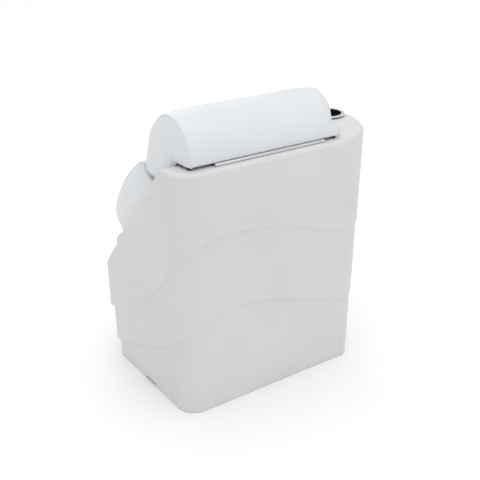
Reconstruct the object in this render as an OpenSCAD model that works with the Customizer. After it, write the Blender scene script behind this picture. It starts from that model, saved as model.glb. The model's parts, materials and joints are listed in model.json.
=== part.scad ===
// Lean-back seat base for a deck boat: hollow moulded base with two wave
// steps, hinged half-round bolster lid over the storage mouth, padded
// lean-back cushion on the slope and a drop-in drink holder in the end pod.
// Millimetres. +Z up, origin at the centre of the footprint on the deck,
// +Y towards the flat back wall, -Y towards the padded side, -X towards the
// drink holder.

/* [Base shell] */
// Height of the flat top deck
deck_h = 689; // [600:1:760]
// Right end wall, distance from the origin
wall_xp = 305.5; // [260:0.5:340]
// Left end wall at the deck, distance from the origin
wall_xn_top = 394; // [340:1:420]
// Left end wall at the floor, distance from the origin
wall_xn_base = 286; // [260:1:340]
// Back wall, distance from the origin
wall_yp = 233.5; // [200:0.5:260]
// Front wall, distance from the origin
wall_yn = 231; // [200:0.5:260]
// Back right corner radius
corner_r = 61; // [30:1:90]
// Back left corner radius at the floor
cone_r_base = 40; // [20:1:80]
// Back left corner radius at the deck
cone_r_top = 218; // [120:1:240]
// Front corner radius
front_r = 40; // [20:1:60]
// Skin thickness
skin = 6; // [4:0.5:8]
// Set-in of each lower tier at the ends and back
tier_in = 4; // [2:0.5:8]
// Set-in of each lower tier at the front
tier_front = 17; // [8:1:25]

/* [Slope and pod] */
// Where the slope meets the deck, measured along Y
slope_y = 141; // [110:1:170]
// Slope angle from level
slope_deg = 47.72; // [40:0.1:60]
// Blend radius between slope and front wall
slope_blend = 70; // [30:1:100]
// Inner face of the end pod, measured along X
pod_x = -246; // [-270:1:-230]
// Radius of the pod's rounded front
pod_r = 150; // [80:1:200]

/* [Storage mouth] */
// Mouth low edge along X
mouth_x0 = -190; // [-215:1:-150]
// Mouth high edge along X
mouth_x1 = 232; // [150:1:240]
// Mouth front edge along Y
mouth_y0 = 78; // [60:1:100]
// Mouth back edge along Y
mouth_y1 = 172; // [150:1:178]

/* [Bolster] */
// Bolster low end along X
bol_x0 = -221; // [-240:1:-200]
// Bolster high end along X
bol_x1 = 262; // [220:1:280]
// Half-round radius
bol_r = 103; // [90:1:115]
// Height of the lid's underside above the deck
lid_gap = 7.5; // [6:0.5:10]
// Level of the skirt's lower edge
skirt_z = 622; // [600:1:640]
// Cover thickness
cover_t = 2; // [1:0.5:3]

/* [Lean-back cushion] */
// Cushion low end along X
pad_x0 = -236; // [-240:1:-200]
// Cushion upper end along the slope
pad_s0 = 150; // [140:1:180]
// Cushion lower end along the slope
pad_s1 = 416; // [380:1:440]
// Cushion crown height above the slope
pad_n = 121; // [80:1:130]
// Cushion squareness: 2 is an ellipse, larger is boxier
pad_square = 3.4; // [2:0.1:6]

/* [Hinge] */
// Hinge low end along X
hin_x0 = -155; // [-180:1:-120]
// Hinge length
hin_len = 340; // [280:1:380]
// Number of knuckles
hin_n = 17; // [9:2:25]
// Knuckle radius
hin_r = 3.75; // [3:0.25:5]
// Pin radius
pin_r = 1.6; // [1.2:0.1:2.5]
// Leaf thickness
leaf_t = 1.5; // [1:0.1:2]
// Leaf width from the pin's axis
leaf_w = 24; // [18:1:30]

/* [Drink holder] */
// Centre along X
cup_x = -331; // [-345:1:-315]
// Centre along Y
cup_y = 14; // [-40:1:60]
// Cup outer radius
cup_r = 44; // [38:0.5:46]
// Cup depth under the flange
cup_depth = 82; // [70:1:95]
// Trim ring outer radius
ring_r = 52; // [48:0.5:56]

/* [Hidden] */
eps = 0.02;
sd = [-cos(slope_deg), -sin(slope_deg)];
sn = [-sin(slope_deg), cos(slope_deg)];
lid_z = deck_h + lid_gap;
hin_y = bol_r*2 + 3;
hin_z = deck_h + hin_r;
hin_pitch = hin_len/hin_n;

// ---- helpers -------------------------------------------------------------
// a point on the slope frame: s down the slope from its top edge, n outwards
function P(s, n) = [slope_y + s*sd[0] + n*sn[0], deck_h + s*sd[1] + n*sn[1]];
// y of the line that lies n above the slope, at height z
function slope_at(z, n) = P((deck_h + n*sn[1] - z)/(-sd[1]), n)[0];

// extrude a Y-Z outline along X
module yz(x0, x1) translate([x0, 0, 0]) rotate([90, 0, 90]) linear_extrude(x1 - x0) children();
// extrude an X-Z outline along Y
module xz(y0, y1) translate([0, y1, 0]) rotate([90, 0, 0]) linear_extrude(y1 - y0) children();

module corners(z, i, fi, r1, x0, l) {
    ra = (r1 - l);
    translate([x0 + l + ra, wall_yp - i - ra, z]) cylinder(r = ra, h = eps, $fn = 64);
    translate([wall_xp - corner_r, wall_yp - corner_r, z]) cylinder(r = corner_r - i, h = eps, $fn = 48);
    translate([wall_xp - i - front_r, -wall_yn + fi + front_r, z]) cylinder(r = front_r, h = eps, $fn = 32);
    translate([x0 + l + front_r, -wall_yn + fi + front_r, z]) cylinder(r = front_r, h = eps, $fn = 32);
}
// plan shape drawn up from the floor to the deck, the left end leaning outwards
module tower(i, fi, z0, z1, l = 0) {
    hull() {
        for (z = [z0, z1 - eps])
            corners(z, i, fi, cone_r_base + (cone_r_top - cone_r_base)*z/deck_h,
                    -wall_xn_base - (wall_xn_top - wall_xn_base)*z/deck_h, l);
    }
}

// smooth curve through a few control points
function cr(a, b, c, d, t) = 0.5*((2*b) + (c - a)*t + (2*a - 5*b + 4*c - d)*t*t + (3*b - a - 3*c + d)*t*t*t);
function curve(p, k) = [for (i = [1:len(p) - 3], j = [0:k - 1])
    [cr(p[i-1][0], p[i][0], p[i+1][0], p[i+2][0], j/k), cr(p[i-1][1], p[i][1], p[i+1][1], p[i+2][1], j/k)]];

// upper wave line: across the back, then down the end wall
wave1_x = [[-520, 398], [-430, 402], [-255, 418], [-90, 466], [34, 501], [159, 511], [248, 492], [300, 461], [420, 400], [480, 380]];
wave1_y = [[-330, 140], [-260, 146], [-140, 178], [-36, 230], [60, 303], [142, 389], [206, 452], [236, 530], [250, 600], [260, 650]];
// lower wave line
wave2_x = [[-520, 168], [-430, 172], [-264, 194], [-130, 234], [-4, 275], [110, 294], [216, 279], [270, 256], [400, 200], [480, 180]];
wave2_y = [[-330, 22], [-260, 30], [-140, 66], [-26, 103], [80, 153], [179, 209], [222, 250], [240, 310], [252, 370], [262, 420]];

module below(wx, wy) {
    cx = curve(wx, 6);
    cy = curve(wy, 6);
    intersection() {
        xz(-400, 400) polygon(concat([[-430, -10]], cx, [[420, -10]]));
        yz(-500, 500) polygon(concat([[-260, -10]], cy, [[250, -10]]));
    }
}

// outline of the space in front of the slope; g grows it
module slope_space(g) {
    yc = -wall_yn + slope_blend;
    s = (slope_y - yc + slope_blend*sin(slope_deg))/cos(slope_deg);
    c = P(s, -slope_blend);
    difference() {
        polygon([P(-60, -g), P(s, -g), c, [-500, c[1]], [-500, deck_h + 60]]);
        translate(c) circle(r = slope_blend - g, $fn = 96);
    }
}
// outline of the space in front of the pod's rounded end
module pod_space(g) {
    difference() {
        translate([-wall_yn - 200, deck_h - pod_r]) square([200 + pod_r, pod_r + 60]);
        translate([-wall_yn + pod_r, deck_h - pod_r]) circle(r = pod_r - g, $fn = 96);
        translate([-wall_yn + pod_r, deck_h - pod_r - 1]) square([400, pod_r + 1 - g]);
    }
}

bolt_x = 220;
bolt_y = 160;

// ---- base -----------------------------------------------------------------
module base_shell() color([0.93, 0.93, 0.92]) {
    side_boss();
    difference() {
        union() {
            difference() { tower(0, 0, 0, deck_h); below(wave1_x, wave1_y); }
            difference() { tower(tier_in, tier_front, 0, deck_h - 40); below(wave2_x, wave2_y); }
            tower(2*tier_in, 2*tier_front, 0, deck_h/2);
        }
        // slope and pod front
        yz(pod_x, 400) slope_space(0);
        yz(-500, pod_x + 0.01) pod_space(0);
        // hollow
        difference() {
            tower(2*tier_in + skin, 2*tier_front + skin, skin, deck_h - skin, skin);
            yz(pod_x - skin, 400) slope_space(skin);
            yz(-500, pod_x - skin + 0.01) pod_space(skin);
        }
        difference() {
            tower(skin, skin, 535, deck_h - skin, skin);
            yz(pod_x - skin, 400) slope_space(skin);
            yz(-500, pod_x - skin + 0.01) pod_space(skin);
        }
        // storage mouth across the top edge of the slope
        translate([mouth_x0, mouth_y0, skirt_z - 4]) cube([mouth_x1 - mouth_x0, mouth_y1 - mouth_y0, 120]);
        // drink holder hole
        translate([cup_x, cup_y, deck_h - 20]) cylinder(r = cup_r + 1.5, h = 40, $fn = 96);
        // deck bolt holes in the floor
        for (x = [-bolt_x, bolt_x], y = [-bolt_y, bolt_y])
            translate([x, y, -1]) cylinder(r = 4.5, h = skin + 2, $fn = 48);
        // drain notch at the foot of the end wall
        translate([270, -14, -1]) cube([60, 56, 10]);
        // hinge screw holes
        for (k = [-2:2]) translate([hin_x0 + hin_len/2 + k*70, hin_y - 14, deck_h - 10]) cylinder(r = 2.05, h = 20, $fn = 32);
        // cushion screw holes
        for (x = [-150, 178], s = [205, 360]) sn_axis(x, s) translate([0, 0, -12]) cylinder(r = 3.4, h = 16, $fn = 32);
    }
}
// low moulded boss on the slope beside the cushion's lower end
module side_boss() intersection() {
    tower(0, 0, 330, 500);
    yz(268, 400) polygon([P(316, -2), P(318, 1), P(340, 6), P(366, 10), P(384, 11), P(394, 8), P(401, 1), P(402, -2)]);
}
// stand on the slope at x, s with +Z along the slope's outward normal
module sn_axis(x, s) translate([x, P(s, 0)[0], P(s, 0)[1]]) rotate([slope_deg, 0, 0]) children();

module lid_bumpers() color([0.12, 0.12, 0.12])
    for (p = [[-200, 160], [247, 160], [-200, 193], [247, 190]])
        translate([p[0], p[1], deck_h]) cylinder(r = 6, h = lid_gap - 0.3, $fn = 48);

// ---- drink holder ---------------------------------------------------------
module cup_insert() color([0.05, 0.05, 0.05])
    translate([cup_x, cup_y, deck_h + 1.5]) rotate_extrude($fn = 96)
        polygon([[4, -cup_depth - 14], [6.5, -cup_depth - 14], [6.5, -cup_depth], [cup_r - 5, -cup_depth], [cup_r - 1.5, -cup_depth + 4],
                 [cup_r, -3], [cup_r, 0], [ring_r - 1.5, 0], [ring_r - 1.5, 2.5], [cup_r - 2, 2.5],
                 [cup_r - 3.5, -cup_depth + 6], [cup_r - 7, -cup_depth + 2.5], [4, -cup_depth + 1.5]]);
module cup_trim_ring() color([0.85, 0.86, 0.87])
    translate([cup_x, cup_y, deck_h + 4]) rotate_extrude($fn = 96) difference() {
        translate([ring_r - 5.75, 0]) intersection() { circle(r = 5.75, $fn = 64); translate([-6, 0]) square([12, 3]); }
        translate([0, -1]) square([cup_r - 2, 10]);
    }
module cup_gasket() color([0.1, 0.1, 0.1])
    translate([cup_x, cup_y, deck_h]) difference() {
        cylinder(r = ring_r - 2.5, h = 1.5, $fn = 96);
        translate([0, 0, -1]) cylinder(r = cup_r + 1.5, h = 4, $fn = 96);
    }

// ---- hinge ----------------------------------------------------------------
module leaf(side) {
    // side 0: leaf on the deck with the odd knuckles, side 1: leaf on the lid
    z0 = side == 0 ? deck_h : lid_z - leaf_t;
    difference() {
        union() {
            translate([hin_x0, hin_y - leaf_w, z0]) cube([hin_len, leaf_w, leaf_t]);
            for (k = [side:2:hin_n - 1])
                translate([hin_x0 + k*hin_pitch, hin_y, hin_z]) rotate([0, 90, 0]) cylinder(r = hin_r, h = hin_pitch, $fn = 48);
        }
        for (k = [1 - side:2:hin_n - 1])
            translate([hin_x0 + k*hin_pitch - 0.2, hin_y - hin_r - 0.5, deck_h - 5]) cube([hin_pitch + 0.4, 20, 20]);
        translate([hin_x0 - 1, hin_y, hin_z]) rotate([0, 90, 0]) cylinder(r = pin_r + 0.05, h = hin_len + 2, $fn = 48);
        for (k = [-2:2]) translate([hin_x0 + hin_len/2 + k*70, hin_y - 14, deck_h - 10]) cylinder(r = 2.1, h = 30, $fn = 32);
    }
}
module hinge_base_leaf() color([0.9, 0.91, 0.92]) leaf(0);
module hinge_lid_leaf() color([0.9, 0.91, 0.92]) leaf(1);
module hinge_pin() color([0.8, 0.81, 0.82])
    translate([hin_x0 - 1.5, hin_y, hin_z]) rotate([0, 90, 0]) union() {
        cylinder(r = pin_r, h = hin_len + 3, $fn = 48);
        translate([0, 0, -1]) cylinder(r = 2.6, h = 1.5, $fn = 48);
        translate([0, 0, hin_len + 2.5]) cylinder(r = 2.6, h = 1.5, $fn = 48);
    }
module pan_screw(r, l, hr, hh) {
    cylinder(r = r, h = l, $fn = 32);
    translate([0, 0, -hh]) difference() {
        cylinder(r = hr, h = hh, $fn = 32);
        for (a = [0, 90]) rotate([0, 0, a]) translate([-hr*0.55, -0.4, -0.1]) cube([hr*1.1, 0.8, 0.9]);
    }
}
module hinge_base_screws() color([0.75, 0.76, 0.77])
    for (k = [-2:2]) translate([hin_x0 + hin_len/2 + k*70, hin_y - 14, deck_h + leaf_t]) rotate([180, 0, 0]) pan_screw(2, 9, 3.6, 1.6);
module hinge_lid_screws() color([0.75, 0.76, 0.77])
    for (k = [-2:2]) translate([hin_x0 + hin_len/2 + k*70, hin_y - 14, lid_z - leaf_t]) pan_screw(2, 13, 3.6, 1.4);

// ---- bolster --------------------------------------------------------------
module bolster_outline(t) {
    intersection() {
        translate([bol_r, lid_z + 0.5]) circle(r = bol_r - t, $fn = 128);
        translate([-10, lid_z + 0.5]) square([400, 200]);
    }
    translate([18, skirt_z + 18]) circle(r = 18 - t, $fn = 64);
    polygon([[t, lid_z + 0.6], [t, skirt_z + 18], [18, skirt_z + 18], [18, skirt_z + t],
             [slope_at(skirt_z + t, 4 + t), skirt_z + t], [slope_at(lid_z + t, 4 + t), lid_z + t],
             [2*bol_r - 0.8 - t, lid_z + t], [2*bol_r - t, lid_z + 0.6 + t], [2*bol_r - t, lid_z + 0.6 + t]]);
}
deck_board_t = 12;
module bolster_deck_outline(g) { z0 = lid_z + cover_t; z1 = z0 + deck_board_t;
    polygon([[slope_at(z0 - g*8, 6) + 0.05 - g, z0 - g*8], [2*bol_r - 4 + g, z0 - g*8], [2*bol_r - 4 + g, z1 + g], [slope_at(z1 + g, 6) + 0.05 - g, z1 + g]]); }
module bolster_front_outline(g) { z1 = lid_z + cover_t + deck_board_t;
    polygon([[slope_at(z1 + g, 6 - g*8), z1 + g], P(86 + g, 6 - g*8), P(86 + g, 18 + g), [slope_at(z1 + g, 18 + g), z1 + g]]); }
board_screw_x = [-170, -50, 70, 200];
module board_screw(x) translate([x, 134, lid_z + cover_t + deck_board_t/2]) rotate([-90, 0, 0]) children();
module hinge_row(z, r, h) for (k = [-2:2]) translate([hin_x0 + hin_len/2 + k*70, hin_y - 14, z]) cylinder(r = r, h = h, $fn = 32);
module bolster_deck_board() color([0.75, 0.62, 0.42]) difference() {
    yz(bol_x0 + 12, bol_x1 - 12) bolster_deck_outline(0);
    hinge_row(lid_z - 10, 2.05, 40);
    for (x = board_screw_x) board_screw(x) translate([0, 0, -20]) cylinder(r = 2.05, h = 60, $fn = 32);
}
module bolster_front_board() color([0.75, 0.62, 0.42]) difference() {
    yz(bol_x0 + 12, bol_x1 - 12) bolster_front_outline(0);
    for (x = board_screw_x) board_screw(x) { translate([0, 0, -1]) cylinder(r = 2.05, h = 40, $fn = 32); translate([0, 0, -20]) cylinder(r = 3.6, h = 20, $fn = 32); }
}
module bolster_board_screws() color([0.75, 0.76, 0.77])
    for (x = board_screw_x) board_screw(x) pan_screw(2, 34, 3.5, 1.4);
module bolster_foam() color([0.95, 0.88, 0.6]) difference() {
    yz(bol_x0 + cover_t, bol_x1 - cover_t) bolster_outline(cover_t);
    yz(bol_x0 + 11.9, bol_x1 - 11.9) { bolster_deck_outline(0.1); bolster_front_outline(0.1); }
    hinge_row(lid_z, 2.3, 16);
    for (x = board_screw_x) board_screw(x) translate([0, 0, -14]) cylinder(r = 4, h = 16, $fn = 32);
}
module bolster_cover() color([0.96, 0.96, 0.95]) difference() {
    yz(bol_x0 + cover_t, bol_x1 - cover_t) difference() {
        bolster_outline(0);
        bolster_outline(cover_t);
        // open underside between the turned-in hems
        polygon([[2*bol_r - 36, lid_z - 7], [2*bol_r - 36, lid_z + cover_t + 0.1], [slope_at(lid_z + cover_t + 0.1, 6.1), lid_z + cover_t + 0.1],
                 P(66, 6.1), P(66, -8), [150, lid_z - 17]]);
    }
    hinge_row(lid_z - 10, 2.3, 20);
}
module bolster_end_panels() color([0.94, 0.94, 0.93]) {
    yz(bol_x0, bol_x0 + cover_t) bolster_outline(0);
    yz(bol_x1 - cover_t, bol_x1) bolster_outline(0);
}
module bolster_staples() color([0.7, 0.7, 0.7]) {
    for (x = [-180:40:220]) translate([x - 5, 2*bol_r - 28, lid_z - 0.6]) cube([10, 1.2, 0.5]);
    for (x = [-180:40:220]) translate([x, P(76, 3.3)[0], P(76, 3.3)[1]]) rotate([slope_deg, 0, 0]) translate([-5, -0.6, 0]) cube([10, 1.2, 0.5]);
}

// ---- lean-back cushion ----------------------------------------------------
module pad_outline(t) {
    m = pad_square; sc = (pad_s0 + pad_s1)/2; a = (pad_s1 - pad_s0)/2 - t; n0 = 0.2 + t; b = pad_n - t - n0;
    polygon([for (i = [0:48]) let (u = i*180/48) P(sc - a*sign(cos(u))*pow(abs(cos(u)), 2/m), n0 + b*pow(sin(u), 2/m))]);
}
module pad_board_outline(g) polygon([P(pad_s0 + 10 - g, 2.2 - g*8), P(pad_s1 - 10 + g, 2.2 - g*8), P(pad_s1 - 10 + g, 14.2 + g), P(pad_s0 + 10 - g, 14.2 + g)]);
module pad_board() color([0.75, 0.62, 0.42]) difference() {
    yz(pad_x0 + 12, bol_x1 - 12) pad_board_outline(0);
    for (x = [-150, 178], s = [205, 360]) sn_axis(x, s) cylinder(r = 4.5, h = 30, $fn = 32);
}
module pad_foam() color([0.95, 0.88, 0.6]) difference() {
    yz(pad_x0 + cover_t, bol_x1 - cover_t) pad_outline(cover_t);
    yz(pad_x0 + 11.9, bol_x1 - 11.9) pad_board_outline(0.1);
    for (x = [-150, 178], s = [205, 360]) sn_axis(x, s) { cylinder(r = 4.6, h = 20, $fn = 32); translate([0, 0, 14]) cylinder(r = 10.5, h = 2.2, $fn = 32); }
}
module pad_cover() color([0.96, 0.96, 0.95]) difference() {
    yz(pad_x0 + cover_t, bol_x1 - cover_t) difference() { pad_outline(0); pad_outline(cover_t); }
    yz(pad_x0 + 34, bol_x1 - 34) polygon([P(pad_s0 + 32, -3), P(pad_s1 - 32, -3), P(pad_s1 - 32, 2.6), P(pad_s0 + 32, 2.6)]);
}
module pad_end_panels() color([0.94, 0.94, 0.93]) {
    yz(pad_x0, pad_x0 + cover_t) pad_outline(0);
    yz(bol_x1 - cover_t, bol_x1) pad_outline(0);
}
module pad_tee_nuts() color([0.75, 0.76, 0.77])
    for (x = [-150, 178], s = [205, 360]) sn_axis(x, s) difference() {
        union() { translate([0, 0, 4.2]) cylinder(r = 4.4, h = 10.1, $fn = 32); translate([0, 0, 14.3]) cylinder(r = 10, h = 1.6, $fn = 32); }
        translate([0, 0, -1]) cylinder(r = 3.05, h = 30, $fn = 32);
    }
module pad_screws() color([0.75, 0.76, 0.77])
    for (x = [-150, 178], s = [205, 360]) sn_axis(x, s) translate([0, 0, -skin]) pan_screw(3, 20, 6.5, 3.2);
module pad_staples() color([0.7, 0.7, 0.7])
    for (x = [-200:40:240], s = [pad_s0 + 22, pad_s1 - 22]) sn_axis(x, s) translate([-5, -0.6, 0.02]) cube([10, 1.2, 0.16]);

base_shell();
lid_bumpers();
cup_insert();
cup_trim_ring();
cup_gasket();
hinge_base_leaf();
hinge_lid_leaf();
hinge_pin();
hinge_base_screws();
hinge_lid_screws();
bolster_deck_board();
bolster_front_board();
bolster_board_screws();
bolster_foam();
bolster_cover();
bolster_end_panels();
bolster_staples();
pad_board();
pad_foam();
pad_cover();
pad_end_panels();
pad_tee_nuts();
pad_screws();
pad_staples();
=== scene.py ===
import bpy, bmesh, json, math
import numpy as np
from mathutils import Vector, Matrix, Euler


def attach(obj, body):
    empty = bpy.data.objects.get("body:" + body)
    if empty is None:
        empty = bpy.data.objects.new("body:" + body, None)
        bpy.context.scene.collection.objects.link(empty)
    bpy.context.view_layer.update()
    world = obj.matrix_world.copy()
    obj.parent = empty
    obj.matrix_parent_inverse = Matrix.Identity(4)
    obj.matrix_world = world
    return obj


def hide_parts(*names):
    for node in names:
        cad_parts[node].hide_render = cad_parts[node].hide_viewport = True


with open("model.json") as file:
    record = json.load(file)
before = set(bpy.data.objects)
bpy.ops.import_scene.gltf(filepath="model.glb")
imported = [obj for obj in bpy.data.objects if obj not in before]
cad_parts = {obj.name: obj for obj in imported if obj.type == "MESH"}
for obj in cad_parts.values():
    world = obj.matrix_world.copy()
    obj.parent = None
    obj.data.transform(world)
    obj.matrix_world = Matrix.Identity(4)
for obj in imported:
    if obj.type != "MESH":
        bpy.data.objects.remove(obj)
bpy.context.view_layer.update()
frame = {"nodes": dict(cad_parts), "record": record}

MM = 0.001

# ---------------------------------------------------------------- dimensions, mm, same as the CAD source
DECK = 689.0
XP0, XP1 = 297.5, 305.5           # +X wall at the floor and at the deck
YP0, YP1 = 226.0, 233.5           # back wall at the floor and at the deck
XN0, XN1 = -286.0, -394.0         # -X wall, leaning outwards
YN = -231.0                       # front wall
RC0, RC1 = 40.0, 218.0            # conical back corner
RB, RF = 61.0, 40.0               # near back corner, front corners
TI, TF = 4.0, 17.0                # tier set-back: back and ends, front
SKIN = 6.0
SY, SD = 141.0, math.radians(47.72)
NY, NZ = -math.sin(SD), math.cos(SD)      # outward normal of the slope
DY, DZ = -math.cos(SD), -math.sin(SD)     # down the slope
PODX, PODR = -246.0, 150.0
MX0, MX1, MY0, MY1 = -190.0, 232.0, 78.0, 172.0
CUP = (-331.0, 14.0)
LID = DECK + 7.5


def P(s, n):
    return (SY + s * DY + n * NY, DECK + s * DZ + n * NZ)


def smooth(t):
    t = np.clip(t, 0, 1)
    return t * t * (3 - 2 * t)


def rmax(a, b, r):
    """intersection with a rounded edge"""
    return np.minimum(np.maximum(a, b), -r) + np.hypot(np.maximum(a + r, 0), np.maximum(b + r, 0))


def rmin(a, b, r):
    return -rmax(-a, -b, r)


def catmull(pts, k=16):
    out = []
    p = np.array(pts, float)
    for i in range(1, len(p) - 2):
        a, b, c, d = p[i - 1], p[i], p[i + 1], p[i + 2]
        for t in np.arange(k) / k:
            out.append(0.5 * ((2 * b) + (c - a) * t + (2 * a - 5 * b + 4 * c - d) * t * t + (3 * b - a - 3 * c + d) * t ** 3))
    out = np.array(out)
    return out[:, 0], out[:, 1]


W1X = catmull([[-520, 398], [-430, 402], [-255, 418], [-210, 430], [-154, 445], [-90, 466.5], [-32, 486], [34, 501.5], [96, 508.5], [159, 510.5], [203, 508], [248, 493], [277, 478], [310, 458], [420, 400], [480, 380]])
W1Y = catmull([[-330, 140], [-260, 146], [-204, 157], [-120, 187], [-36, 230], [31, 280], [110, 350], [142, 388], [172, 424], [206, 454], [240, 530], [252, 600], [260, 650]])
W2X = catmull([[-520, 168], [-430, 172], [-264, 194], [-186, 215], [-92, 247], [-4, 275], [64, 288], [120, 294], [177, 286], [216, 279], [260, 260], [320, 232], [400, 200], [480, 180]])
W2Y = catmull([[-330, 22], [-260, 30], [-192, 46], [-110, 74], [-26, 104], [37, 134], [100, 166], [179, 209], [226, 246], [246, 310], [256, 370], [262, 420]])


def wave(wx, wy, x, y, u):
    """height of a wave line: its back line on the back wall, its end line on the ends, turning from one to the other round the corners"""
    rc = RC0 + (RC1 - RC0) * u
    cy = np.where(x > -60, YP0 + (YP1 - YP0) * u - RB, YP0 + (YP1 - YP0) * u - rc)
    cx = np.where(x > -60, x - (XP0 + (XP1 - XP0) * u - RB), (XN0 + (XN1 - XN0) * u + rc) - x)
    w = smooth(np.arctan2(np.maximum(y - cy, 0), np.maximum(cx, 1e-3)) / (math.pi / 2))
    return np.interp(x, wx[0], wx[1]) * w + np.interp(y, wy[0], wy[1]) * (1 - w)


def ledge(h, z, soft):
    """1 below the ledge and 0 above it"""
    return smooth((h - z) / soft + 0.5)


def plan(x, y, z, g, pod=False):
    """horizontal distance from the outer wall, negative inside"""
    u = z / DECK
    i = TI * (ledge(wave(W1X, W1Y, x, y, u), z, 6.5) + ledge(wave(W2X, W2Y, x, y, u), z, 6.5))
    fi = i * (TF / TI)
    xp = XP0 + (XP1 - XP0) * u - i - g
    xn = XN0 + (XN1 - XN0) * u + g
    yp = YP0 + (YP1 - YP0) * u - i - g
    if pod:
        r = PODR - g
        yn = YN + PODR - np.sqrt(np.maximum(r * r - np.maximum(z - (DECK - PODR), 0) ** 2, 0)) + fi
    else:
        yn = YN + fi + g
    rc = RC0 + (RC1 - RC0) * u
    right, back = x > -60, y > -60
    dx = np.where(right, x - xp, xn - x)
    dy = np.where(back, y - yp, yn - y)
    r = np.where(right, np.where(back, RB - i - g, RF - g), np.where(back, rc - g, RF - g))
    return np.hypot(np.maximum(dx + r, 0), np.maximum(dy + r, 0)) + np.minimum(np.maximum(dx, dy) + r, 0) - r


def solid(x, y, z, g, e):
    """the moulding's outside, set in by g; e scales the edge rounding"""
    down = (y - SY) * DY + (z - DECK) * DZ
    boss = 11.0 * smooth((down - 318) / 62) * smooth((402 - down) / 17) * smooth((x - 264) / 9)
    slope = (y - SY) * NY + (z - DECK) * NZ + g - boss
    back = plan(x, y, z, g)
    pod = plan(x, y, z, g, True)
    f = rmin(rmax(back, slope, 10 * e), rmax(pod, x - PODX + g, 9 * e), 7 * e)
    return rmax(f, z - DECK + g, 11 * e)


def shell_field(x, y, z):
    out = rmax(solid(x, y, z, 0.0, 1.0), -z, 3.0)
    hollow = rmax(solid(x, y, z, SKIN, 0.8), SKIN - z, 6.0)
    f = np.maximum(out, -hollow)
    mouth = rmax(rmax(np.abs(x - (MX0 + MX1) / 2) - (MX1 - MX0) / 2, np.abs(y - (MY0 + MY1) / 2) - (MY1 - MY0) / 2, 14.0), 600.0 - z, 1.0)
    f = rmax(f, -mouth, 2.0)
    cup = rmax(np.hypot(x - CUP[0], y - CUP[1]) - 45.5, 660.0 - z, 1.0)
    f = rmax(f, -cup, 1.5)
    bolt = rmax(np.hypot(np.abs(x) - 220.0, np.abs(y) - 160.0) - 4.5, z - 12.0, 1.0)
    f = rmax(f, -bolt, 0.8)
    notch = rmax(rmax(270.0 - x, np.abs(y - 14.0) - 28.0, 1.0), z - 9.0, 3.0)
    return rmax(f, -notch, 1.2)


def grid_lines(spans):
    """[(start, end, step), ...] joined into one rising list"""
    out = []
    for a, b, s in spans:
        n = max(1, int(round((b - a) / s)))
        out.extend(np.linspace(a, b, n, endpoint=False))
    out.append(spans[-1][1])
    return np.array(out)


def surface_net(field, xs, ys, zs):
    """a quad mesh of field = 0 on an uneven grid, its points then moved onto the true surface"""
    v = np.empty((len(xs), len(ys), len(zs)), np.float32)
    for a in range(0, len(xs), 24):
        b = min(a + 24, len(xs))
        v[a:b] = field(xs[a:b, None, None], ys[None, :, None], zs[None, None, :])
    inside = v < 0
    n = np.array(v.shape) - 1
    count = np.zeros(n, np.int8)
    for i in (0, 1):
        for j in (0, 1):
            for k in (0, 1):
                count += inside[i:n[0] + i, j:n[1] + j, k:n[2] + k]
    active = (count > 0) & (count < 8)
    idx = np.argwhere(active)
    number = np.full(n, -1, np.int32)
    number[active] = np.arange(len(idx))
    total = np.zeros((len(idx), 3))
    hits = np.zeros(len(idx))
    lines = (xs, ys, zs)
    for axis in range(3):
        for p in (0, 1):
            for q in (0, 1):
                o0 = [0, 0, 0]
                rest = [a for a in range(3) if a != axis]
                o0[rest[0]], o0[rest[1]] = p, q
                o1 = list(o0); o1[axis] = 1
                i0 = idx + o0; i1 = idx + o1
                a = v[i0[:, 0], i0[:, 1], i0[:, 2]].astype(float)
                b = v[i1[:, 0], i1[:, 1], i1[:, 2]].astype(float)
                cross = (a < 0) != (b < 0)
                t = np.where(cross, a / np.where(a == b, 1, a - b), 0)
                for c in range(3):
                    c0 = lines[c][i0[:, c]]; c1 = lines[c][i1[:, c]]
                    total[:, c] += np.where(cross, c0 + (c1 - c0) * t, 0)
                hits += cross
    pts = total / hits[:, None]
    quads = []
    for axis in range(3):
        b, c = [(1, 2), (2, 0), (0, 1)][axis]
        sl0 = [slice(None)] * 3; sl1 = [slice(None)] * 3
        sl0[axis] = slice(0, -1); sl1[axis] = slice(1, None)
        for s in (b, c):
            sl0[s] = slice(1, -1); sl1[s] = slice(1, -1)
        lo, hi = inside[tuple(sl0)], inside[tuple(sl1)]
        e = np.argwhere(lo != hi)
        at = e.copy(); at[:, b] += 1; at[:, c] += 1
        def cell(db, dc):
            k = at.copy(); k[:, b] -= db; k[:, c] -= dc
            return number[k[:, 0], k[:, 1], k[:, 2]]
        q = np.stack([cell(1, 1), cell(0, 1), cell(0, 0), cell(1, 0)], 1)
        turn = hi[e[:, 0], e[:, 1], e[:, 2]]
        q[turn] = q[turn][:, ::-1]
        quads.append(q)
    quads = np.concatenate(quads)
    h = 0.2
    for _ in range(5):
        f = field(pts[:, 0], pts[:, 1], pts[:, 2])
        g = np.stack([(field(pts[:, 0] + dx, pts[:, 1] + dy, pts[:, 2] + dz) - field(pts[:, 0] - dx, pts[:, 1] - dy, pts[:, 2] - dz)) / (2 * h)
                      for dx, dy, dz in ((h, 0, 0), (0, h, 0), (0, 0, h))], 1)
        step = -f[:, None] * g / np.maximum((g * g).sum(1), 0.05)[:, None]
        far = np.linalg.norm(step, axis=1)
        pts = pts + step * np.minimum(1, 1.2 / np.maximum(far, 1e-9))[:, None]
    return pts, quads


def new_object(name, verts, faces, body, smooth_shade=True):
    me = bpy.data.meshes.new(name)
    me.from_pydata([tuple(float(c) * MM for c in p) for p in verts], [], [tuple(int(i) for i in f) for f in faces])
    me.validate()
    if smooth_shade:
        me.polygons.foreach_set("use_smooth", [True] * len(me.polygons))
    me.update()
    o = bpy.data.objects.new(name, me)
    bpy.context.scene.collection.objects.link(o)
    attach(o, body)
    return o


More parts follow.
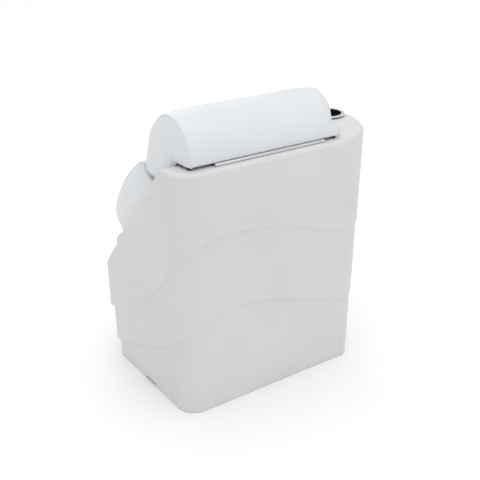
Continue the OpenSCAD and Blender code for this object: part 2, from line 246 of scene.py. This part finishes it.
# ---------------------------------------------------------------- materials
def material(name, rough, metal=0.0, spec=0.5, **sockets):
    m = bpy.data.materials.new(name)
    m.use_nodes = True
    nt = m.node_tree
    b = nt.nodes["Principled BSDF"]
    b.inputs["Roughness"].default_value = rough
    b.inputs["Metallic"].default_value = metal
    b.inputs["Specular IOR Level"].default_value = spec
    for k, v in sockets.items():
        b.inputs[k.replace("_", " ")].default_value = v
    return m, nt, b


def coords(nt, scale=(1, 1, 1)):
    t = nt.nodes.new("ShaderNodeTexCoord")
    mp = nt.nodes.new("ShaderNodeMapping")
    mp.inputs["Scale"].default_value = scale
    nt.links.new(t.outputs["Object"], mp.inputs["Vector"])
    return mp.outputs["Vector"]


def noise(nt, vec, scale, detail=3.0, rough=0.5, dist=0.0):
    n = nt.nodes.new("ShaderNodeTexNoise")
    n.inputs["Scale"].default_value = scale
    n.inputs["Detail"].default_value = detail
    n.inputs["Roughness"].default_value = rough
    n.inputs["Distortion"].default_value = dist
    nt.links.new(vec, n.inputs["Vector"])
    return n.outputs["Fac"]


def ramp(nt, fac, stops):
    r = nt.nodes.new("ShaderNodeValToRGB")
    while len(r.color_ramp.elements) < len(stops):
        r.color_ramp.elements.new(0.5)
    for e, (p, c) in zip(r.color_ramp.elements, stops):
        e.position = p
        e.color = (*c, 1) if len(c) == 3 else c
    nt.links.new(fac, r.inputs["Fac"])
    return r.outputs["Color"]


def maths(nt, op, a, b):
    m = nt.nodes.new("ShaderNodeMath")
    m.operation = op
    for s, v in zip(m.inputs, (a, b)):
        if isinstance(v, (int, float)):
            s.default_value = v
        else:
            nt.links.new(v, s)
    return m.outputs[0]


def bump(nt, b, height, strength, distance):
    n = nt.nodes.new("ShaderNodeBump")
    n.inputs["Strength"].default_value = strength
    n.inputs["Distance"].default_value = distance
    nt.links.new(height, n.inputs["Height"])
    nt.links.new(n.outputs["Normal"], b.inputs["Normal"])


def rough_from(nt, b, fac, lo, hi):
    m = nt.nodes.new("ShaderNodeMapRange")
    m.inputs["To Min"].default_value = lo
    m.inputs["To Max"].default_value = hi
    nt.links.new(fac, m.inputs["Value"])
    nt.links.new(m.outputs["Result"], b.inputs["Roughness"])


def make_shell_plastic():
    m, nt, b = material("shell_plastic", 0.5, spec=0.4)
    v = coords(nt)
    broad = noise(nt, v, 5.0, 3.0, 0.55)
    nt.links.new(ramp(nt, broad, [(0.3, (0.652, 0.654, 0.660)), (0.7, (0.687, 0.689, 0.694))]), b.inputs["Base Color"])
    rough_from(nt, b, noise(nt, v, 16.0, 2.0, 0.5), 0.44, 0.56)
    grain = noise(nt, v, 900.0, 2.0, 0.6)
    peel = noise(nt, v, 120.0, 2.0, 0.5)
    bump(nt, b, maths(nt, "ADD", maths(nt, "MULTIPLY", grain, 0.5), peel), 0.16, 0.0006)
    return m


def make_vinyl():
    m, nt, b = material("cover_vinyl", 0.42, spec=0.45, Sheen_Weight=0.06, Sheen_Roughness=0.5)
    v = coords(nt)
    nt.links.new(ramp(nt, noise(nt, v, 7.0, 3.0, 0.5), [(0.3, (0.718, 0.738, 0.760)), (0.7, (0.752, 0.772, 0.792))]), b.inputs["Base Color"])
    cells = nt.nodes.new("ShaderNodeTexVoronoi")
    cells.feature = "DISTANCE_TO_EDGE"
    cells.inputs["Scale"].default_value = 620.0
    nt.links.new(v, cells.inputs["Vector"])
    c = maths(nt, "MINIMUM", maths(nt, "MULTIPLY", cells.outputs["Distance"], 3.0), 0.5)
    fine = noise(nt, v, 260.0, 3.0, 0.6)
    bump(nt, b, maths(nt, "ADD", c, maths(nt, "MULTIPLY", fine, 0.7)), 0.22, 0.0005)
    rough_from(nt, b, noise(nt, v, 22.0, 2.0, 0.5), 0.36, 0.48)
    return m


def make_thread():
    m, nt, b = material("seam_thread", 0.6)
    v = coords(nt)
    nt.links.new(ramp(nt, noise(nt, v, 60.0), [(0.3, (0.70, 0.71, 0.71)), (0.7, (0.80, 0.80, 0.80))]), b.inputs["Base Color"])
    bump(nt, b, noise(nt, v, 1500.0), 0.3, 0.0003)
    return m


def make_foam():
    m, nt, b = material("cushion_foam", 0.95, spec=0.1)
    v = coords(nt)
    nt.links.new(ramp(nt, noise(nt, v, 14.0), [(0.3, (0.84, 0.74, 0.48)), (0.7, (0.90, 0.82, 0.58))]), b.inputs["Base Color"])
    bump(nt, b, noise(nt, v, 700.0, 4.0, 0.7), 0.8, 0.001)
    return m


def make_wood():
    m, nt, b = material("board_wood", 0.6, spec=0.3)
    v = coords(nt, (3.0, 30.0, 30.0))
    w = nt.nodes.new("ShaderNodeTexWave")
    w.inputs["Scale"].default_value = 2.0
    w.inputs["Distortion"].default_value = 6.0
    w.inputs["Detail"].default_value = 3.0
    nt.links.new(v, w.inputs["Vector"])
    nt.links.new(ramp(nt, w.outputs["Fac"], [(0.1, (0.40, 0.26, 0.13)), (0.6, (0.58, 0.41, 0.23)), (1.0, (0.66, 0.50, 0.31))]), b.inputs["Base Color"])
    bump(nt, b, w.outputs["Fac"], 0.25, 0.0006)
    return m


def make_rubber():
    m, nt, b = material("black_rubber", 0.75, spec=0.3)
    v = coords(nt)
    nt.links.new(ramp(nt, noise(nt, v, 40.0), [(0.3, (0.018, 0.018, 0.018)), (0.7, (0.035, 0.035, 0.036))]), b.inputs["Base Color"])
    bump(nt, b, noise(nt, v, 900.0), 0.3, 0.0004)
    return m


def make_cup():
    m, nt, b = material("cup_plastic", 0.16, spec=0.55, Coat_Weight=0.4, Coat_Roughness=0.08)
    v = coords(nt)
    nt.links.new(ramp(nt, noise(nt, v, 25.0), [(0.3, (0.012, 0.012, 0.013)), (0.7, (0.022, 0.022, 0.023))]), b.inputs["Base Color"])
    rough_from(nt, b, noise(nt, v, 60.0), 0.12, 0.24)
    bump(nt, b, noise(nt, v, 180.0), 0.05, 0.0004)
    return m


def make_steel(name, lo, hi, r0, r1, brushed=None):
    m, nt, b = material(name, 0.25, metal=1.0)
    v = coords(nt, brushed or (1, 1, 1))
    n = noise(nt, v, 220.0 if brushed else 40.0, 3.0, 0.6)
    nt.links.new(ramp(nt, n, [(0.3, lo), (0.7, hi)]), b.inputs["Base Color"])
    rough_from(nt, b, n, r0, r1)
    bump(nt, b, n, 0.06, 0.0003)
    return m


MAT = {
    "shell_plastic": make_shell_plastic(), "cover_vinyl": make_vinyl(), "seam_thread": make_thread(), "cushion_foam": make_foam(),
    "board_wood": make_wood(), "black_rubber": make_rubber(), "cup_plastic": make_cup(),
    "trim_steel": make_steel("trim_steel", (0.78, 0.79, 0.80), (0.86, 0.87, 0.88), 0.07, 0.14),
    "hinge_steel": make_steel("hinge_steel", (0.70, 0.71, 0.72), (0.84, 0.85, 0.86), 0.22, 0.36, (0.6, 8.0, 8.0)),
    "screw_steel": make_steel("screw_steel", (0.62, 0.63, 0.64), (0.74, 0.75, 0.76), 0.25, 0.38),
}
node_slot = {s["node"]: s["material_slot"] for s in frame["record"]["subparts"]}
for n, o in frame["nodes"].items():
    o.data.materials.clear()
    o.data.materials.append(MAT[node_slot[n]])


def shade(o, *names):
    for n in names:
        o.data.materials.append(MAT[n])
    return o


# ---------------------------------------------------------------- moulded base
k = 1.0
xs = grid_lines([(-400, -276, 3.0 * k), (-276, -258, 3.0), (-258, -236, 2.0), (-236, -226, 4), (-226, -214, 1.5), (-214, -196, 4), (-196, 214, 6.0 * k), (214, 226, 1.5), (226, 238, 3), (238, 262, 4.0), (262, 285, 3.0), (285, 310, 1.5 * k)])
ys = grid_lines([(-236, -214, 2.0), (-214, -206, 3), (-206, -186, 3.0), (-186, -166, 4), (-166, -154, 1.5), (-154, 60, 3.6 * k), (60, 84, 3), (84, 154, 3.6), (154, 166, 1.5), (166, 198, 3.0), (198, 238, 1.8 * k)])
zs = grid_lines([(-3, 14, 1.4), (14, 40, 3.5 * k), (40, 520, 2.6 * k), (520, 660, 3.4 * k), (660, 676, 2.5), (676, 693, 1.4)])
pts, quads = surface_net(shell_field, xs, ys, zs)
base = shade(new_object("base_moulding", pts, quads, "base"), "shell_plastic")
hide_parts("base_shell")
print("base quads", len(quads))


# ---------------------------------------------------------------- cushions
def resample(poly, n):
    p = np.array(poly, float)
    q = np.vstack([p, p[:1]])
    d = np.r_[0, np.cumsum(np.linalg.norm(np.diff(q, axis=0), axis=1))]
    t = np.linspace(0, d[-1], n, endpoint=False)
    return np.stack([np.interp(t, d, q[:, 0]), np.interp(t, d, q[:, 1])], 1)


def arc(c, r, a0, a1, n):
    a = np.radians(np.linspace(a0, a1, n))
    return [(c[0] + r * math.cos(t), c[1] + r * math.sin(t)) for t in a]


def normals2(p):
    t = np.roll(p, -1, 0) - np.roll(p, 1, 0)
    n = np.stack([t[:, 1], -t[:, 0]], 1)
    n /= np.linalg.norm(n, axis=1)[:, None]
    area = 0.5 * np.sum(p[:, 0] * np.roll(p[:, 1], -1) - np.roll(p[:, 0], -1) * p[:, 1])
    return n if area > 0 else -n


def loft(outline, centre, rings, soft):
    """rings: (x, scale about centre, swell outwards in mm). soft: share of swell for each outline point. Returns verts, quads, ring size."""
    nn = normals2(outline)
    c = np.array(centre, float)
    verts = []
    for x, s, w in rings:
        q = c + (outline + nn * (w * soft)[:, None] - c) * s
        verts.extend((x, a, b) for a, b in q)
    n = len(outline)
    faces = []
    for k in range(len(rings) - 1):
        for i in range(n):
            j = (i + 1) % n
            faces.append((k * n + i, k * n + j, (k + 1) * n + j, (k + 1) * n + i))
    a, b = len(verts), len(verts) + 1
    verts.append((rings[0][0], *c)); verts.append((rings[-1][0], *c))
    last = (len(rings) - 1) * n
    for i in range(n):
        j = (i + 1) % n
        faces.append((a, j, i))
        faces.append((b, last + i, last + j))
    return np.array(verts), faces, n


def cushion(name, outline, centre, rings, soft, pins, body, replaced, pressure, cap, hold, sag=None):
    """A padded form: lofted, puffed up with cloth pressure between its pinned seams, then subdivided.
    hold(points) gives, for each point, how free it is to move (0 at the flat underside)."""
    verts, faces, n = loft(outline, centre, rings, soft)
    if sag:
        verts = sag(verts)
    o = new_object(name, verts, faces, body)
    bm = bmesh.new(); bm.from_mesh(o.data)
    bmesh.ops.recalc_face_normals(bm, faces=bm.faces)
    bm.to_mesh(o.data); bm.free()
    free = hold(verts)
    pinned = np.zeros(len(verts))
    for k in pins:
        pinned[k * n:(k + 1) * n] = 1.0
    weight = np.maximum(pinned, 1 - free)
    start = np.array([v.co for v in o.data.vertices]).reshape(-1, 3)
    sim = o.copy(); sim.data = o.data.copy(); sim.name = name + "_sim"
    sim.parent = None
    bpy.context.scene.collection.objects.link(sim)
    g = sim.vertex_groups.new(name="pin")
    for i, w in enumerate(weight):
        if w > 0.01:
            g.add([i], float(w), "REPLACE")
    cl = sim.modifiers.new("cloth", "CLOTH")
    s = cl.settings
    s.quality = 6
    s.mass = 0.4
    s.tension_stiffness = s.compression_stiffness = 18
    s.shear_stiffness = 12
    s.bending_stiffness = 1.2
    s.use_pressure = True
    s.uniform_pressure_force = pressure
    s.vertex_group_mass = "pin"
    s.effector_weights.gravity = 0.0
    cl.collision_settings.use_self_collision = False
    sc = bpy.context.scene
    for fr in range(1, 21):
        sc.frame_set(fr)
    dg = bpy.context.evaluated_depsgraph_get()
    e = sim.evaluated_get(dg)
    moved = np.array([v.co for v in e.data.vertices]).reshape(-1, 3)
    sc.frame_set(1)
    d = moved - start
    length = np.linalg.norm(d, axis=1)
    lim = cap * MM
    d *= (lim * np.tanh(length / lim) / np.maximum(length, 1e-9))[:, None]
    d *= (1 - weight)[:, None]
    o.data.vertices.foreach_set("co", (start + d).astype(np.float32).ravel())
    o.data.update()
    old = sim.data
    bpy.data.objects.remove(sim); bpy.data.meshes.remove(old)
    sub = o.modifiers.new("soft", "SUBSURF")
    sub.levels = sub.render_levels = 1
    shade(o, "cover_vinyl")
    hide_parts(*replaced)
    return o, n


def tube(name, path, r, body, mat, closed=True, sides=8):
    """a cord of radius r along path, as a mesh"""
    p = np.array(path, float)
    m = len(p)
    nxt = np.roll(p, -1, 0) if closed else np.vstack([p[1:], 2 * p[-1:] - p[-2:-1]])
    prv = np.roll(p, 1, 0) if closed else np.vstack([2 * p[:1] - p[1:2], p[:-1]])
    t = nxt - prv
    t /= np.linalg.norm(t, axis=1)[:, None]
    up = np.array([1.0, 0, 0])
    a = np.cross(t, up); a /= np.maximum(np.linalg.norm(a, axis=1), 1e-9)[:, None]
    b = np.cross(t, a)
    verts, faces = [], []
    for i in range(m):
        for k in range(sides):
            w = 2 * math.pi * k / sides
            verts.append(p[i] + r * (math.cos(w) * a[i] + math.sin(w) * b[i]))
    for i in range(m if closed else m - 1):
        j = (i + 1) % m
        for k in range(sides):
            l = (k + 1) % sides
            faces.append((i * sides + k, i * sides + l, j * sides + l, j * sides + k))
    if not closed:
        faces.append(tuple(range(sides)))
        faces.append(tuple((m - 1) * sides + k for k in reversed(range(sides))))
    o = new_object(name, verts, faces, body)
    bm = bmesh.new(); bm.from_mesh(o.data)
    bmesh.ops.recalc_face_normals(bm, faces=bm.faces)
    bm.to_mesh(o.data); bm.free()
    return shade(o, mat)


# half-round bolster: outline in y, z
BZ = LID + 0.5
def slope_y(z, n):
    return SY + ((z - DECK - n * NZ) / (-DZ)) * (-DY) + n * NY


bol = []
for a, b in arc((103.0, BZ), 103.0, 0, 180, 60):
    h = (b - BZ) / 103.0              # the front of the arch is steeper low down and leans back near the top
    lean = (80 * h ** 3 * (1 - h) - 6 * (1 - h)) * smooth((103.0 - a) / 25) if h > 0 else -6.0 * (a < 100)
    bol.append((a + float(lean), BZ + (b - BZ) * 1.06))
bol += [(-8.5, 670.0), (-9.5, 652.0)]
bol += arc((9.5, 640.0), 18.5, 180, 270, 10)
bol += [(40.0, 621.8), (slope_y(622, 4.5) - 4, 622.0), (slope_y(625, 4.6), 625.0)]
bol += [(slope_y(LID - 2, 4.6), LID - 2.0), (slope_y(LID, 4.6) + 3, LID)]
bol += [(202.0, LID), (205.5, LID + 1.5)]
bol = resample(bol, 108)
bol_soft = np.clip((bol[:, 1] - 640) / 60, 0, 1) * np.where(bol[:, 0] > slope_y(bol[:, 1], 12), 0, 1)
bol_soft = np.where(bol[:, 1] > LID + 8, np.where(bol[:, 0] > 150, 0.35 + 0.65 * smooth((bol[:, 1] - LID - 8) / 40), 1.0), bol_soft * 0.6)


CAPS = ((0.8, 0.99), (2.4, 0.969), (4.6, 0.932), (7.0, 0.869), (9.3, 0.775), (11.0, 0.65), (12.0, 0.5), (12.6, 0.33), (12.8, 0.12))
X0, X1 = -209.0, 250.0            # the two seams
PULL = 5.0                        # how far the cover is drawn in at a seam
rings = [(X0 - d, s, -PULL) for d, s in reversed(CAPS)]
seam0 = len(rings)
rings.append((X0, 1.0, -PULL))
for x in [X0 + 3, X0 + 8, X0 + 15, X0 + 24, X0 + 35] + list(np.linspace(X0 + 48, X1 - 48, 26)) + [X1 - 35, X1 - 24, X1 - 15, X1 - 8, X1 - 3]:
    t = min(x - X0, X1 - x)
    rings.append((x, 1.0, -PULL + 1.2 + (PULL + 3.2) * math.sin(math.pi / 2 * min(t / 80.0, 1)) ** 0.7))
seam1 = len(rings)
rings.append((X1, 1.0, -PULL))
rings += [(X1 + d, s, -PULL) for d, s in CAPS]


def bolster_hold(v):
    under = (v[:, 1] > slope_y(v[:, 2], 14)) & (v[:, 2] < LID + 6)
    low = smooth((v[:, 2] - (LID + 2)) / 30)
    front = (v[:, 1] < slope_y(v[:, 2], 14)) * smooth((v[:, 2] - 628) / 40) * 0.8
    f = np.where(v[:, 2] > LID + 2, low, front)
    return np.where(under, 0, np.maximum(f, 0))


def bolster_sag(v):
    """the filling settles, so the ends bulge below the middle"""
    low = smooth((706 - v[:, 2]) / 50) * smooth((v[:, 2] - 622) / 16)
    v[:, 0] += 5 * low * smooth((v[:, 0] - 240) / 10)
    y, z = v[:, 1], v[:, 2]
    tuck = 9 * smooth((y - 95) / 60) * smooth((z - 712) / 22) + 11 * smooth((y - 165) / 35) * smooth((z - 714) / 22)
    tuck -= 2 * smooth((732 - z) / 26)
    cap = np.maximum(v[:, 0] - 250.1, -209.1 - v[:, 0])
    v[:, 0] += tuck * smooth((-170 - v[:, 0]) / 38)
    v[:, 2] -= 0.75 * (z - LID) * smooth((20 + LID - z) / 18) * (z > LID) * (cap > 0) * (cap < 10) * (y > 125)
    v[:, 1] += 0.7 * (204 - y) * smooth((y - 186) / 12) * (y < 204) * (z < 716) * (cap > 0) * (cap < 5)
    return v


bolster, bn = cushion("bolster_cushion", bol, (86.0, 716.0), rings, bol_soft, (seam0, seam1), "bolster_lid",
                      ("bolster_cover", "bolster_end_panels", "bolster_foam"), 3.0, 6.0, bolster_hold, bolster_sag)


def seam_path(outline, soft, x, w):
    q = outline + normals2(outline) * (w * soft)[:, None]
    return np.array([(x, a, b) for a, b in q])


tube("bolster_welt_near", bolster_sag(seam_path(bol, bol_soft, X1, -PULL + 0.6)), 1.7, "bolster_lid", "cover_vinyl")
tube("bolster_welt_far", bolster_sag(seam_path(bol, bol_soft, X0, -PULL + 0.6)), 1.7, "bolster_lid", "cover_vinyl")

# lean-back cushion: outline in the slope frame
S0, S1 = 150.0, 418.0
sc_ = (S0 + S1) / 2
pad = [P(s, n * 0.965) for s, n in ((140, 1.2), (139, 20), (140, 38), (144, 52), (147, 66), (145, 82), (140, 95), (142, 106), (153, 113),
                            (172, 118), (210, 126), (259, 132), (310, 131), (362, 124), (398, 113), (418, 97),
                            (424.5, 76), (424, 50), (421, 25), (418, 1.2))]
pad = np.array(pad)
pad_f = np.linspace(0, len(pad) - 1, 240)
pad_k = np.clip(pad_f.astype(int), 0, len(pad) - 2); pad_u = (pad_f - pad_k)[:, None]
pa, pb = pad[np.maximum(pad_k - 1, 0)], pad[pad_k]
pc_, pd = pad[pad_k + 1], pad[np.minimum(pad_k + 2, len(pad) - 1)]
pad = 0.5 * (2 * pb + (pc_ - pa) * pad_u + (2 * pa - 5 * pb + 4 * pc_ - pd) * pad_u ** 2 + (3 * pb - pa - 3 * pc_ + pd) * pad_u ** 3)
pad = resample(pad, 112)
pc = P(sc_, 52.0)
def pad_n(v):
    return (v[:, 1] - SY) * NY + (v[:, 2] - DECK) * NZ
pn = (pad[:, 0] - SY) * NY + (pad[:, 1] - DECK) * NZ
pad_soft = smooth((pn - 6) / 60)
PX0, PX1 = -226.0, 256.0
rings = [(PX0 - d * 0.8, s, -PULL) for d, s in reversed(CAPS)]
ps0 = len(rings)
rings.append((PX0, 1.0, -PULL))
for x in [PX0 + 3, PX0 + 8, PX0 + 15, PX0 + 24, PX0 + 35] + list(np.linspace(PX0 + 48, PX1 - 48, 26)) + [PX1 - 35, PX1 - 24, PX1 - 15, PX1 - 8, PX1 - 3]:
    t = min(x - PX0, PX1 - x)
    rings.append((x, 1.0, -PULL + 1.2 + (PULL - 0.6) * math.sin(math.pi / 2 * min(t / 110.0, 1)) ** 0.75))
ps1 = len(rings)
rings.append((PX1, 1.0, -PULL))
rings += [(PX1 + d * 0.8, s, -PULL) for d, s in CAPS]


def pad_hold(v):
    return smooth((pad_n(v) - 4) / 40)


cushion("lean_back_cushion", pad, pc, rings, pad_soft, (ps0, ps1), "base",
        ("pad_cover", "pad_end_panels", "pad_foam"), 3.0, 7.0, pad_hold)
tube("pad_welt_near", seam_path(pad, pad_soft, PX1, -PULL + 0.6), 1.7, "base", "cover_vinyl")
tube("pad_welt_far", seam_path(pad, pad_soft, PX0, -PULL + 0.6), 1.7, "base", "cover_vinyl")

# ---------------------------------------------------------------- floor, light, camera
floor_me = bpy.data.meshes.new("studio_floor")
floor_me.from_pydata([(-40, -40, -0.0002), (40, -40, -0.0002), (40, 40, -0.0002), (-40, 40, -0.0002)], [], [(0, 1, 2, 3)])
floor = bpy.data.objects.new("studio_floor", floor_me)
bpy.context.scene.collection.objects.link(floor)
fm, fnt, fb = material("studio_paper", 0.9, spec=0.1)
fnt.links.new(ramp(fnt, noise(fnt, coords(fnt), 1.2), [(0.3, (0.94, 0.94, 0.94)), (0.7, (0.95, 0.95, 0.95))]), fb.inputs["Base Color"])
floor_me.materials.append(fm)

world = bpy.data.worlds.new("studio")
world.use_nodes = True
world.node_tree.nodes["Background"].inputs["Color"].default_value = (1.0, 1.0, 1.0, 1)
world.node_tree.nodes["Background"].inputs["Strength"].default_value = 0.70
bpy.context.scene.world = world


def area(name, at, to, sx, sy, power, color=(1, 1, 1)):
    l = bpy.data.lights.new(name, "AREA")
    l.shape = "RECTANGLE"
    l.size, l.size_y, l.energy, l.color = sx, sy, power, color
    o = bpy.data.objects.new(name, l)
    bpy.context.scene.collection.objects.link(o)
    o.location = at
    o.rotation_mode = "QUATERNION"
    o.rotation_quaternion = (Vector(to) - Vector(at)).to_track_quat("-Z", "Y")
    return o


sun_data = bpy.data.lights.new("overhead_light", "SUN")
sun_data.energy, sun_data.angle = 1.15, math.radians(70)
sun = bpy.data.objects.new("overhead_light", sun_data)
sun.rotation_euler = (math.radians(-8), 0, 0)
bpy.context.scene.collection.objects.link(sun)
area("rear_softbox", (0.3, 2.6, 2.6), (0, 0, 0.6), 1.6, 1.2, 4)
area("back_softbox", (-0.6, -2.6, 2.4), (0, 0, 0.5), 2.0, 1.2, 13)

a, e, roll = math.radians(145.277), math.radians(24.558), math.radians(-0.136)
B = Vector((math.sin(a) * math.cos(e), -math.cos(a) * math.cos(e), math.sin(e)))
R = Vector((math.cos(a), math.sin(a), 0))
U = B.cross(R)
R2 = R * math.cos(roll) + U * math.sin(roll)
U2 = -R * math.sin(roll) + U * math.cos(roll)
cam_data = bpy.data.cameras.new("camera")
cam_data.sensor_width = 36.0
cam_data.lens = 808.052 / 480 * 36.0
cam_data.clip_end = 50
cam = bpy.data.objects.new("camera", cam_data)
bpy.context.scene.collection.objects.link(cam)
m = Matrix((R2, U2, B)).transposed().to_4x4()
m.translation = Vector((1.1868, 1.7576, 1.3374))
cam.matrix_world = m
bpy.context.scene.camera = cam
bpy.context.scene.view_settings.view_transform = "Standard"
bpy.context.scene.view_settings.look = "None"
